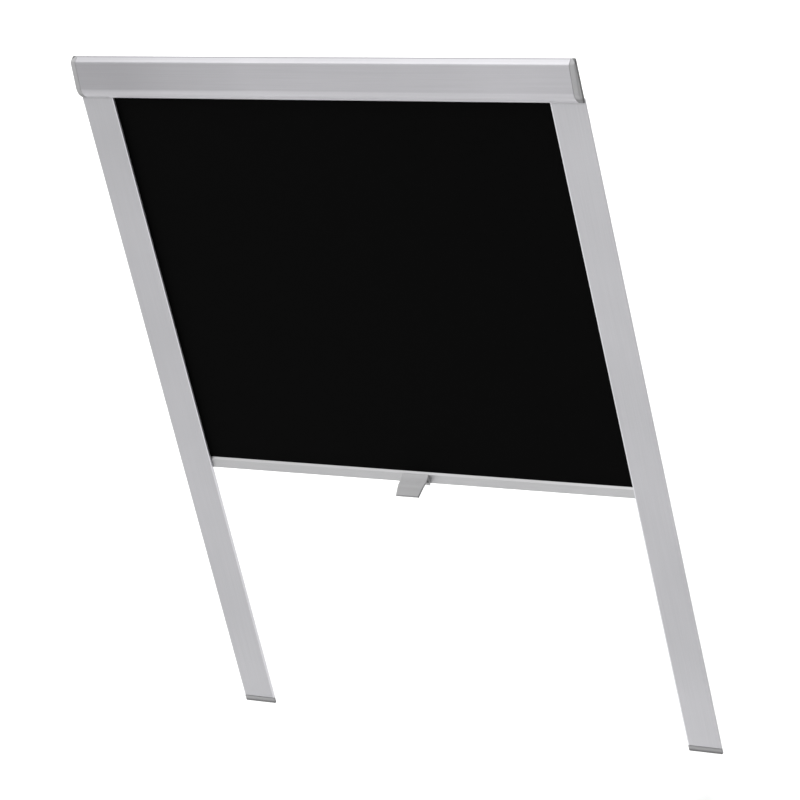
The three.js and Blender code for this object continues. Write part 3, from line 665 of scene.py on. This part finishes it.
CAP_PLASTIC = MouldedPlastic(
    "cover_cap_plastic", "cap_plastic", (0.350, 0.349, 0.356), roughness=0.48, bands=(
        # Painted shade on the outer corners and the lower edges
        Band(CAP_CORNER, 300.2, 301.2, 0.27, mirrored=True), Band(Z_AXIS, -32.5, -35.8, 0.55),
    ))
FOOT_PLASTIC = MouldedPlastic(
    "rail_cap_plastic", "cap_plastic", (0.300, 0.299, 0.304), roughness=0.5, bands=(
        # Painted shade on the lower edge, painted shadow at the upper rim
        Band(Z_AXIS, -791.9, -794.4, 0.38), Band(Z_AXIS, -790.1, -789.6, 0.88),
    ))
HANDLE_PLASTIC = MouldedPlastic(
    "pull_handle_plastic", "handle_plastic", (0.400, 0.399, 0.405), roughness=0.46, bands=(
        # Painted shade on the tab's edges, painted light and shade on its arcs out to its tip
        Band(TAB_LOWER_EDGE, 298.9, 299.8, 0.5), Band(TAB_RIGHT_EDGE, 17.1, 17.6, 0.5),
        Band(Z_AXIS, -488.5, -485.5, 1.03), Band(Y_AXIS, -16.0, -12.0, 1.24),
        Band(Y_AXIS, -10.5, -4.5, 0.80), Band(Y_AXIS, -8.0, -2.5, 1.12),
    ), grain_size=0.3)
BLACK_PLASTIC = MouldedPlastic(
    "black_plastic", "dark_plastic", (0.022, 0.022, 0.023), roughness=0.5)
PLATED_STEEL = PlatedSteel("zinc_plated_steel", "steel", (0.58, 0.59, 0.60), roughness=0.34)
BLACK_CLOTH = WovenCloth(
    "black_blackout_cloth", "fabric", (0.0019, 0.0019, 0.0019), roughness=0.9, specular=0.03)
SILVER_BACK = WovenCloth(
    "silver_coated_back", "fabric", (0.38, 0.388, 0.396), roughness=0.46,
    metallic=0.7, contrast=0.08, specular=0.4, relief_depth=0.03)


# Geometry nodes


class Recipe:
    """A geometry node tree with named sizes, run once and kept as a plain mesh."""

    def __init__(self, name: str) -> None:
        """Starts a tree with a geometry input and output.

        Args:
            name: the tree's name.
        """
        self.tree = bpy.data.node_groups.new(name, "GeometryNodeTree")
        for way in ("INPUT", "OUTPUT"):
            self.tree.interface.new_socket(
                "Geometry", in_out=way, socket_type="NodeSocketGeometry")
        self.graph = Graph(self.tree)
        self.inputs = self.graph.add("NodeGroupInput")
        self.values: dict[str, float | int] = {}
        self.finish: bpy.types.Material | None = None

    def size(self, name: str, value: float | int) -> Field:
        """Adds a named input.

        Args:
            name: its name.
            value: its value, a whole number for a count.

        Returns:
            The input, as the tree reads it.
        """
        kind = "NodeSocketInt" if isinstance(value, int) else "NodeSocketFloat"
        made = self.tree.interface.new_socket(name, in_out="INPUT", socket_type=kind)
        self.values[made.identifier] = value
        return self.graph.field(self.inputs, made.identifier)

    @property
    def base(self) -> Field:
        """The geometry of the mesh that the tree runs on."""
        return self.graph.field(self.inputs, 0)

    def end(self, geometry: Field, finish: Finish, smooth: bool = True) -> None:
        """Ends the tree.

        Args:
            geometry: what it makes.
            finish: the finish of all of it.
            smooth: whether its faces are shaded smooth.
        """
        self.finish = finish.material()
        real = self.graph.add("GeometryNodeRealizeInstances", sockets={"Geometry": geometry})
        shaded = self.graph.add("GeometryNodeSetShadeSmooth", sockets={
            "Geometry": real.outputs[0], "Shade Smooth": smooth})
        dressed = self.graph.add("GeometryNodeSetMaterial", sockets={
            "Geometry": shaded.outputs[0], "Material": self.finish})
        self.graph.add("NodeGroupOutput", sockets={0: dressed.outputs[0]})

    def run(self, name: str, base: bpy.types.Mesh | None = None,
            wall: float = 0.0) -> bpy.types.Object:
        """Runs the tree and keeps its result.

        Args:
            name: the name of the piece.
            base: the mesh that it runs on.
            wall: the thickness that the result is given, or 0.

        Returns:
            The piece, a plain mesh with no modifier.
        """
        carrier = linked(name + "_source", base or bpy.data.meshes.new(name + "_base"))
        grow = carrier.modifiers.new("grow", "NODES")
        grow.node_group = self.tree
        for identifier, value in self.values.items():
            grow[identifier] = value
        if wall:
            solid = carrier.modifiers.new("wall", "SOLIDIFY")
            solid.thickness, solid.offset = wall, 0
            solid.use_even_offset = solid.use_rim = True
        return plain_piece(carrier, name, self.finish)


# Sub-assemblies

SIDES = ("left", "right")
SAME_PLACE = 0.001 * MM
FLAT, SHARP = math.radians(0.4), math.radians(30)


class SubAssembly:
    """What the sub-assemblies share: dressing solids and putting pieces on a body."""

    body = "frame"

    def carry(self, finish: Finish, *nodes: str) -> None:
        """Gives solids that stay as they are their finish.

        Args:
            finish: the finish.
            nodes: their names.
        """
        for node in nodes:
            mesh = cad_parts[node].data
            mesh.materials.clear()
            mesh.materials.append(finish.material())
            log.info("%s: %s on the solid itself", node, finish.name)

    def keep(self, piece: bpy.types.Object, finish: Finish, *nodes: str) -> bpy.types.Object:
        """Puts a finished piece on this sub-assembly's body.

        Args:
            piece: the piece.
            finish: its finish, whose name goes into the log.
            nodes: the solids that it stands for.

        Returns:
            The piece.
        """
        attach(piece, self.body)
        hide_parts(*nodes)
        log.info("%s: %s, %d faces", piece.name, finish.name, len(piece.data.polygons))
        return piece

    @staticmethod
    def coat(piece: bpy.types.Object, finish: Finish,
             back: Callable[[bpy.types.MeshPolygon], bool]) -> None:
        """Gives the back of a sheet its own finish.

        Args:
            piece: the sheet.
            finish: the finish of its back.
            back: tells whether a face is on the back.
        """
        piece.data.materials.append(finish.material())
        for face in piece.data.polygons:
            if back(face):
                face.material_index = 1

    def screws(self, name: str, screw: "Screw", nodes: Sequence[str]) -> bpy.types.Object:
        """Screws in place of plain ones, one at each, their heads where those are.

        Args:
            name: the name of the piece.
            screw: the kind of screw.
            nodes: the plain screws.

        Returns:
            The piece that holds them all.
        """
        places = []
        for node in nodes:
            low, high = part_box(node)
            inner = low.x if low.x > 0 else high.x
            places.append((inner, (low.y + high.y) / 2, (low.z + high.z) / 2))
        seats = bpy.data.meshes.new(name + "_seats")
        seats.from_pydata(places, [], [])
        piece = screw.recipe(name + "_recipe").run(name, seats)
        return self.keep(piece, PLATED_STEEL, *nodes)

    def rounded(self, node: str, name: str, finish: Finish, edge: float,
                steps: int = 2) -> bpy.types.Object:
        """A copy of a solid whose sharp edges are rounded as a real piece's are.

        Args:
            node: the solid.
            name: the name of the piece.
            finish: its finish.
            edge: how far the rounding reaches, in millimetres.
            steps: how many faces it has.

        Returns:
            The piece, in place of the solid.
        """
        form = bmesh.new()
        form.from_mesh(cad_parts[node].data)
        bmesh.ops.remove_doubles(form, verts=form.verts, dist=SAME_PLACE)
        bmesh.ops.dissolve_limit(form, angle_limit=FLAT, verts=form.verts, edges=form.edges)
        for face in form.faces:
            face.smooth = True
        mesh = bpy.data.meshes.new(name + "_form")
        form.to_mesh(mesh)
        form.free()
        carrier = linked(name + "_source", mesh)
        bevel = carrier.modifiers.new("edge", "BEVEL")
        bevel.width, bevel.segments = edge * MM, steps
        bevel.limit_method, bevel.angle_limit = "ANGLE", SHARP
        bevel.use_clamp_overlap = True
        weighted = carrier.modifiers.new("flat", "WEIGHTED_NORMAL")
        weighted.keep_sharp = True
        return self.keep(plain_piece(carrier, name, finish.material()), finish, node)


class Head(Enum):
    """The form of a screw's head."""

    COUNTERSUNK = "countersunk"
    PAN = "pan"


@dataclass(frozen=True)
class Screw:
    """A cross-head screw with a rolled thread; sizes in millimetres."""

    head: Head
    head_radius: float
    head_height: float
    shank: float
    length: float
    point: float
    pitch: float = 1.1
    thread: float = 0.22
    recess: float = 0.45
    recess_reach: float = 1.25
    head_sides: int = 32
    dome_rings: int = 20
    shank_sides: int = 20
    thread_sides: int = 3

    def recipe(self, name: str) -> Recipe:
        """The tree that sets one on each vertex of a mesh, its point turned away from the middle.

        Args:
            name: the tree's name.

        Returns:
            The recipe.
        """
        recipe = Recipe(name)
        graph = recipe.graph
        radius = recipe.size("Head Radius", self.head_radius * MM)
        height = recipe.size("Head Height", self.head_height * MM)
        shank = recipe.size("Shank Radius", self.shank * MM)
        length = recipe.size("Length", self.length * MM)
        point = recipe.size("Point", self.point * MM)
        run = length - height - point
        core = graph.form("Cylinder", {"Vertices": self.shank_sides, "Radius": shank, "Depth": run},
                          (0.0, 0.0, (length + height - point) * 0.5))
        tip = graph.form("Cone", {
            "Vertices": self.shank_sides, "Radius Top": 0.0, "Radius Bottom": shank,
            "Depth": point}, (0.0, 0.0, length - point))
        block = self.block(graph, radius, height, shank)
        slot = recipe.size("Recess Width", self.recess * MM)
        reach = radius * self.recess_reach
        for wide, deep in ((reach, slot), (slot, reach)):
            bar = graph.form("Cube", {"Size": graph.vector(wide, deep, height)}, (0.0, 0.0, 0.0))
            block = graph.carved(block, bar)
        ridge = graph.add("GeometryNodeCurvePrimitiveCircle", sockets={
            "Resolution": self.thread_sides,
            "Radius": recipe.size("Thread Depth", self.thread * MM)})
        helix = graph.add("GeometryNodeCurveSpiral", sockets={
            "Resolution": self.shank_sides,
            "Rotations": run / recipe.size("Pitch", self.pitch * MM),
            "Start Radius": shank, "End Radius": shank, "Height": run})
        wound = graph.add("GeometryNodeCurveToMesh", sockets={
            "Curve": helix.outputs[0], "Profile Curve": ridge.outputs[0], "Fill Caps": True})
        thread = graph.add("GeometryNodeTransform", sockets={
            "Geometry": wound.outputs[0], "Translation": graph.vector(0.0, 0.0, height)})
        whole = graph.joined(core, tip, block, graph.field(thread))
        across, _, _ = graph.position()
        lean = graph.vector(0.0, across.math("SIGN") * (math.pi / 2), 0.0)
        placed = graph.add("GeometryNodeInstanceOnPoints", sockets={
            "Points": recipe.base, "Instance": whole, "Rotation": lean})
        recipe.end(graph.field(placed), PLATED_STEEL, smooth=False)
        return recipe

    def block(self, graph: Graph, radius: Field, height: Field, shank: Field) -> Field:
        """The head, before its recess is cut.

        Args:
            graph: the tree.
            radius: the head's radius.
            height: its height.
            shank: the shank's radius.

        Returns:
            Its mesh, the top at the origin.
        """
        if self.head is Head.COUNTERSUNK:
            return graph.form("Cone", {
                "Vertices": self.head_sides, "Radius Top": shank, "Radius Bottom": radius,
                "Depth": height}, (0.0, 0.0, 0.0))
        ball = graph.form("UVSphere", {
            "Segments": self.head_sides, "Rings": self.dome_rings, "Radius": radius},
            (0.0, 0.0, 0.0))
        dome = graph.add("GeometryNodeTransform", sockets={
            "Geometry": ball, "Scale": graph.vector(1.0, 1.0, height / radius),
            "Translation": graph.vector(0.0, 0.0, height)})
        under = graph.form("Cube", {"Size": graph.vector(radius * 4, radius * 4, radius * 4)},
                           (0.0, 0.0, height + radius * 2))
        return graph.carved(graph.field(dome), under)


@dataclass
class Cassette(SubAssembly):
    """The cover with its end caps, and the head rail with its supports, brackets and screws."""

    cover_edge: float = 0.18
    cap_edge: float = 0.25
    support_edge: float = 0.3
    bracket_edge: float = 0.18
    screw: Screw = Screw(
        Head.PAN, head_radius=2.5, head_height=1.6, shank=1.28, length=8.2, point=1.8)

    def build(self) -> None:
        """Makes the cassette's pieces."""
        self.rounded("front_cover", "cover_extrusion", COVER_ALUMINIUM, self.cover_edge)
        self.rounded("head_rail", "head_rail_extrusion", MILL_ALUMINIUM, self.cover_edge)
        for side in SIDES:
            self.rounded(f"cover_cap_{side}", f"cover_cap_moulding_{side}",
                         CAP_PLASTIC, self.cap_edge)
            self.rounded(f"end_support_{side}", f"end_support_moulding_{side}",
                         BLACK_PLASTIC, self.support_edge)
            self.rounded(f"mounting_bracket_{side}", f"bent_bracket_{side}",
                         PLATED_STEEL, self.bracket_edge)
        self.screws("bracket_screws", self.screw,
                    [f"bracket_screw_{side}_{i}" for side in SIDES for i in (1, 2)])


@dataclass
class SideRails(SubAssembly):
    """The two rails that guide the fabric, with the caps on their lower ends and their screws."""

    rail_edge: float = 0.25
    cap_edge: float = 0.3
    screw: Screw = Screw(
        Head.COUNTERSUNK, head_radius=2.7, head_height=1.2, shank=1.28, length=6.0, point=1.8)

    def build(self) -> None:
        """Makes the rails' pieces."""
        for side in SIDES:
            self.rounded(f"side_rail_{side}", f"rail_extrusion_{side}",
                         RAIL_ALUMINIUM, self.rail_edge)
            self.rounded(f"rail_cap_{side}", f"rail_cap_moulding_{side}",
                         FOOT_PLASTIC, self.cap_edge)
        self.screws("rail_screws", self.screw,
                    [f"rail_screw_{side}_{i}" for side in SIDES for i in (1, 2, 3)])


@dataclass
class SpringShaft(SubAssembly):
    """The fixed shaft in the roller, with the torsion spring round it; sizes in millimetres."""

    edge: float = 0.15
    wire: float = 0.5
    wire_sides: int = 8
    turns: float = 34.0
    turn_steps: int = 20

    def build(self) -> None:
        """Makes the shaft and its spring."""
        self.rounded("spring_shaft", "spring_shaft_rod", PLATED_STEEL, self.edge)
        self.spring()

    def spring(self) -> None:
        """The torsion spring: round wire wound on a helix about the shaft."""
        low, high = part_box("torsion_spring")
        wire = self.wire * MM
        recipe = Recipe("torsion_spring_wire")
        graph = recipe.graph
        coil = recipe.size("Coil Radius", (high.y - low.y) / 2 - wire)
        helix = graph.add("GeometryNodeCurveSpiral", sockets={
            "Resolution": recipe.size("Steps a Turn", self.turn_steps),
            "Rotations": recipe.size("Turns", self.turns),
            "Start Radius": coil, "End Radius": coil,
            "Height": recipe.size("Length", high.x - low.x - 2 * wire)})
        section = graph.add("GeometryNodeCurvePrimitiveCircle", sockets={
            "Resolution": recipe.size("Wire Sides", self.wire_sides),
            "Radius": recipe.size("Wire Radius", wire)})
        solid = graph.add("GeometryNodeCurveToMesh", sockets={
            "Curve": helix.outputs[0], "Profile Curve": section.outputs[0], "Fill Caps": True})
        laid = graph.add("GeometryNodeTransform", sockets={
            "Geometry": solid.outputs[0], "Rotation": (0, math.pi / 2, 0),
            "Translation": (low.x + wire, (low.y + high.y) / 2, (low.z + high.z) / 2)})
        recipe.end(graph.field(laid), PLATED_STEEL)
        self.keep(recipe.run("torsion_spring_coil"), PLATED_STEEL, "torsion_spring")


@dataclass
class Roller(SubAssembly):
    """The tube with its plugs, the collar, the idler pin and the wound part of the cloth.

    Sizes are in millimetres.
    """

    body = "roller"
    edge: float = 0.15
    turns: float = 7.5
    layer: float = 0.25
    cloth: float = 0.2
    steps_across: int = 3
    steps_round: int = 420

    def build(self) -> None:
        """Makes the roller's pieces."""
        self.carry(MILL_ALUMINIUM, "roller_tube")
        for side in SIDES:
            self.rounded(f"tube_plug_{side}", f"tube_plug_moulding_{side}",
                         BLACK_PLASTIC, self.edge)
        self.rounded("spring_collar", "spring_collar_moulding", BLACK_PLASTIC, self.edge)
        self.rounded("idler_pin", "idler_pin_rod", PLATED_STEEL, self.edge)
        self.wound_cloth()

    def wound_cloth(self) -> None:
        """The cloth on the tube: one strip on a spiral, its outer end at the front of the roll."""
        low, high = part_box("fabric_roll")
        middle = (low + high) / 2
        outer = middle.y - low.y - self.cloth / 2 * MM
        recipe = Recipe("cloth_spiral")
        graph = recipe.graph
        turns = recipe.size("Turns", self.turns)
        strip = graph.add("GeometryNodeMeshGrid", sockets={
            "Size X": recipe.size("Width", high.x - low.x), "Size Y": 1.0,
            "Vertices X": recipe.size("Steps Across", self.steps_across),
            "Vertices Y": recipe.size("Steps Round", self.steps_round)})
        across, along, _ = graph.position()
        turned = (along + 0.5) * turns
        angle = math.pi - turned * (2 * math.pi)
        radius = recipe.size("Outer Radius", outer) - turned * recipe.size("Layer", self.layer * MM)
        place = graph.vector(
            across, radius * angle.cosine() + middle.y, radius * angle.sine() + middle.z)
        laid = graph.add("GeometryNodeSetPosition", sockets={
            "Geometry": strip.outputs[0], "Position": place})
        recipe.end(graph.field(laid), BLACK_CLOTH)
        piece = recipe.run("cloth_on_the_roller", wall=self.cloth * MM)
        self.coat(piece, SILVER_BACK,
                  lambda face: face.normal.yz.dot((face.center - middle).yz) < 0)
        self.keep(piece, BLACK_CLOTH, "fabric_roll")


@dataclass
class SlidingBar(SubAssembly):
    """The bottom bar with its handle, keeper, glides and brake springs."""

    body = "bar"
    bar_edge: float = 0.2
    handle_edge: float = 0.35
    handle_edge_steps: int = 3
    glide_edge: float = 0.3

    def build(self) -> None:
        """Makes the bar's pieces."""
        self.rounded("bottom_bar", "bar_extrusion", BAR_ALUMINIUM, self.bar_edge)
        self.rounded("handle", "pull_handle", HANDLE_PLASTIC, self.handle_edge,
                     self.handle_edge_steps)
        self.carry(BLACK_PLASTIC, "fabric_keeper")
        for side in SIDES:
            self.rounded(f"bar_glide_{side}", f"glide_moulding_{side}",
                         BLACK_PLASTIC, self.glide_edge)
            self.carry(PLATED_STEEL, f"brake_spring_{side}")


@dataclass
class BlackoutCloth(SubAssembly):
    """The sheet of cloth between the roll and the bar, black in front and silver behind.

    Its thickness, lead and ripple are in millimetres. The lead is how far below the roll the
    cloth comes forward to it. The reach, as a share of its length, is not used.
    """

    cloth: float = 0.3
    lead: float = 16.0
    ripple: float = 0.12
    ripple_scales: tuple[float, float] = (9.0, 3.0)
    reach: float = 0.05
    steps_across: int = 90
    steps_down: int = 120
    back_facing: float = 0.5

    def build(self) -> None:
        """Makes the sheet where the cloth's solid is, coming forward to the roll at its top."""
        low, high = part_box("blackout_fabric")
        roll_low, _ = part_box("fabric_roll")
        plane = (low.y + high.y) / 2
        width, length = high.x - low.x, high.z - low.z
        recipe = Recipe("hanging_cloth")
        graph = recipe.graph
        sheet = graph.add("GeometryNodeMeshGrid", sockets={
            "Size X": recipe.size("Width", width), "Size Y": recipe.size("Length", length),
            "Vertices X": recipe.size("Steps Across", self.steps_across),
            "Vertices Y": recipe.size("Steps Down", self.steps_down)})
        across, down, _ = graph.position()
        height = down + (low.z + high.z) / 2
        share = height.between(high.z - self.lead * MM, high.z)
        wide, long = self.ripple_scales
        wave = graph.noise(graph.vector(across * wide, 0.0, down * long), 1.0) - 0.5
        swell = wave * (recipe.size("Ripple", self.ripple * MM) * 2)
        lead = share * share * (roll_low.y + self.cloth / 2 * MM - plane)
        laid = graph.add("GeometryNodeSetPosition", sockets={
            "Geometry": sheet.outputs[0],
            "Position": graph.vector(across, lead + swell + plane, height)})
        recipe.end(graph.field(laid), BLACK_CLOTH)
        piece = recipe.run("hanging_cloth", wall=self.cloth * MM)
        self.coat(piece, SILVER_BACK, lambda face: face.normal.y > self.back_facing)
        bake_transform(piece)
        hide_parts("blackout_fabric")
        log.info("%s: %s, %d faces", piece.name, BLACK_CLOTH.name, len(piece.data.polygons))


# Studio


@dataclass(frozen=True)
class Lamp:
    """A square soft light that faces a point, with the length of its side and its power."""

    name: str
    place: Point
    aim: Point
    side: float
    watts: float

    def hang(self) -> None:
        """Adds the light to the scene."""
        light = bpy.data.lights.new(self.name, "AREA")
        light.size, light.energy = self.side, self.watts
        lamp = linked(self.name, light)
        lamp.location = self.place
        ray = Vector(self.aim) - Vector(self.place)
        lamp.rotation_euler = ray.to_track_quat("-Z", "Y").to_euler()


@dataclass
class Studio:
    """The camera at the photograph's place, a pale floor, and soft light."""

    focal_pixels: float = 3768.5
    frame_pixels: float = 800.0
    sensor: float = 36.0
    clip: tuple[float, float] = (0.1, 100.0)
    eye: Point = (2.1207, -2.9122, 1.3031)
    right: Point = (0.84499, 0.49029, -0.21357)
    down: Point = (0.05212, -0.47296, -0.87954)
    floor: float = -0.83
    floor_size: float = 30.0
    floor_colour: Colour = (0.9, 0.9, 0.9)
    floor_roughness: float = 0.9
    floor_specular: float = 0.1
    sky_left: float = 1.35
    sky_right: float = 0.30
    sky_turn: float = 0.8
    lamps: tuple[Lamp, ...] = (
        Lamp("upper_light", (-1.2, -0.9, 2.6), aim=(0, 0, -0.2), side=2.0, watts=34),
        Lamp("floor_light", (-1.5, 5.0, 4.0), aim=(-1.5, 5.0, -0.83), side=6.0, watts=420),
    )

    def camera(self) -> None:
        """Places the camera."""
        lens = bpy.data.cameras.new("camera")
        lens.sensor_width = self.sensor
        lens.lens = self.sensor * self.focal_pixels / self.frame_pixels
        lens.clip_start, lens.clip_end = self.clip
        right = Vector(self.right).normalized()
        up = -Vector(self.down)
        up = (up - up.dot(right) * right).normalized()
        turn = Matrix((right, up, right.cross(up))).transposed().to_4x4()
        camera = linked("camera", lens)
        camera.matrix_world = Matrix.Translation(self.eye) @ turn
        bpy.context.scene.camera = camera

    def ground(self) -> None:
        """Lays the floor."""
        half = self.floor_size / 2
        mesh = bpy.data.meshes.new("floor")
        around = ((-1, -1), (1, -1), (1, 1), (-1, 1))
        corners = [(x * half, y * half, self.floor) for x, y in around]
        mesh.from_pydata(corners, [], [(0, 1, 2, 3)])
        material = bpy.data.materials.new("pale_floor")
        material.use_nodes = True
        graph = Graph(material.node_tree)
        shader = graph.add("ShaderNodeBsdfPrincipled", sockets={
            "Base Color": (*self.floor_colour, 1), "Roughness": self.floor_roughness,
            "Specular IOR Level": self.floor_specular})
        graph.add("ShaderNodeOutputMaterial", sockets={"Surface": shader.outputs[0]})
        mesh.materials.append(material)
        linked("floor", mesh)

    def sky(self) -> None:
        """A white surround, brighter on the left than on the right."""
        world = bpy.data.worlds.new("surround")
        world.use_nodes = True
        graph = Graph(world.node_tree)
        across, _, _ = graph.parts(graph.field(graph.add("ShaderNodeTexCoord"), "Object"))
        share = across.between(-self.sky_turn, self.sky_turn)
        colour = graph.between(share, (self.sky_left,) * 3, (self.sky_right,) * 3)
        glow = graph.add("ShaderNodeBackground", sockets={"Color": colour, "Strength": 1.0})
        graph.add("ShaderNodeOutputWorld", sockets={"Surface": glow.outputs[0]})
        bpy.context.scene.world = world

    def build(self) -> None:
        """Makes the whole studio."""
        self.camera()
        self.ground()
        self.sky()
        for lamp in self.lamps:
            lamp.hang()
        bpy.context.scene.view_settings.view_transform = "Standard"


def main() -> None:
    """Builds the studio and the blind."""
    logging.basicConfig(level=logging.INFO, format="%(message)s")
    Studio().build()
    for part in (Cassette(), SideRails(), SpringShaft(), Roller(), SlidingBar(), BlackoutCloth()):
        log.info("building the %s", type(part).__name__)
        part.build()


if __name__ == "__main__":
    main()
